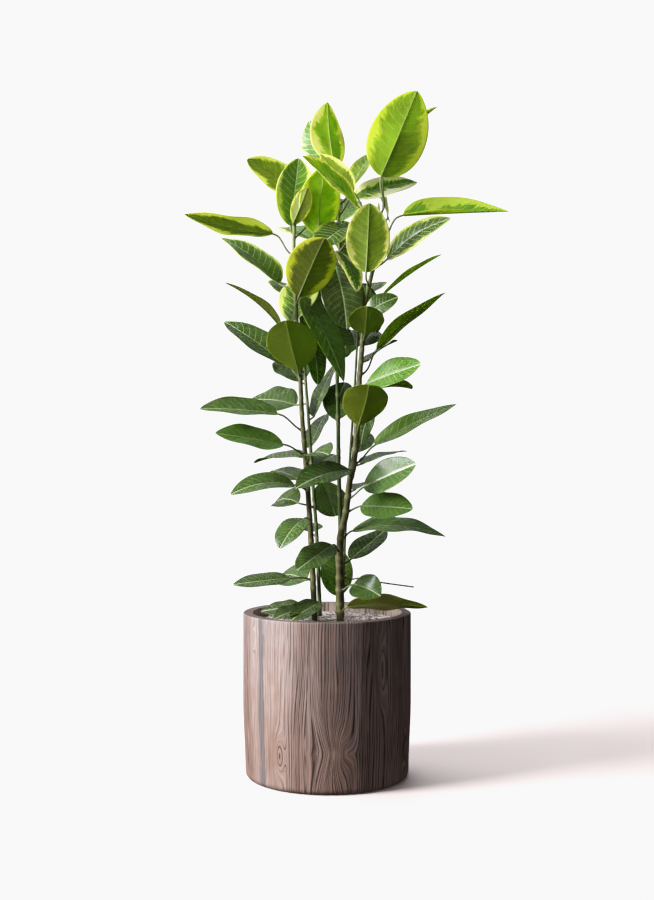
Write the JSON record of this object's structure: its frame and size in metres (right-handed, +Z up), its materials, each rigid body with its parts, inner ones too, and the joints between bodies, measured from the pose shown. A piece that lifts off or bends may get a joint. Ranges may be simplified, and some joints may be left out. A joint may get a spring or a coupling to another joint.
{
  "type": "potted rubber plant",
  "caption": "Live rubber plant with slim upright stems and broad variegated leaves, growing from soil in a round straight-sided planter.",
  "frame": {"origin": "centre of the planter's flat foot, on the surface that it stands on", "axes": "+Z up along the planter's axis and the stems; -Y is the side seen from the front, +X to its right"},
  "size_m": [0.581, 0.3, 1.23],
  "materials": {
    "planter": "matt cast surface with an upright weathered wood grain relief",
    "soil": "dry grit and potting soil",
    "bark": "smooth grey-brown bark with leaf scars",
    "green_stem": "smooth dark green young stem",
    "dry_stalk": "dry, dark and rough",
    "crown_leaf": "satin leaf, green in the middle with a yellow-green margin",
    "lower_leaf": "satin dark green leaf with pale veins"
  },
  "bodies": {
    "root": {"pot": "planter", "soil": "soil", "stem_left": "bark", "stem_back_left": "green_stem", "stem_centre": "green_stem", "stem_right": "bark", "stem_back_right": "green_stem", "dry_stalk": "dry_stalk", "leaf_01_right": "crown_leaf", "leaf_02_right": "crown_leaf", "leaf_03_centre": "crown_leaf", "leaf_04_centre": "crown_leaf", "leaf_05_right": "crown_leaf", "leaf_06_right": "crown_leaf", "leaf_07_right": "crown_leaf", "leaf_08_right": "crown_leaf", "leaf_09_right": "crown_leaf", "leaf_10_right": "crown_leaf", "leaf_11_right": "lower_leaf", "leaf_12_right": "lower_leaf", "leaf_13_right": "lower_leaf", "leaf_14_right": "lower_leaf", "leaf_15_right": "lower_leaf", "leaf_16_right": "lower_leaf", "leaf_17_right": "lower_leaf", "leaf_18_right": "lower_leaf", "leaf_19_right": "lower_leaf", "leaf_20_right": "lower_leaf", "leaf_21_right": "lower_leaf", "leaf_22_right": "lower_leaf", "leaf_23_right": "lower_leaf", "leaf_24_right": "lower_leaf", "leaf_25_centre": "crown_leaf", "leaf_26_centre": "crown_leaf", "leaf_27_centre": "crown_leaf", "leaf_28_centre": "crown_leaf", "leaf_29_centre": "crown_leaf", "leaf_30_centre": "crown_leaf", "leaf_31_centre": "crown_leaf", "leaf_32_left": "crown_leaf", "leaf_33_left": "crown_leaf", "leaf_34_left": "crown_leaf", "leaf_35_left": "crown_leaf", "leaf_36_left": "crown_leaf", "leaf_37_left": "crown_leaf", "leaf_38_left": "lower_leaf", "leaf_39_left": "lower_leaf", "leaf_40_left": "lower_leaf", "leaf_41_left": "lower_leaf", "leaf_42_left": "lower_leaf", "leaf_43_left": "lower_leaf", "leaf_44_left": "lower_leaf", "leaf_45_left": "lower_leaf", "leaf_46_left": "lower_leaf", "leaf_47_back_left": "crown_leaf", "leaf_48_back_left": "lower_leaf", "leaf_49_back_left": "lower_leaf", "leaf_50_back_left": "lower_leaf", "leaf_51_back_right": "lower_leaf", "leaf_52_back_right": "lower_leaf"}
  },
  "joints": []
}
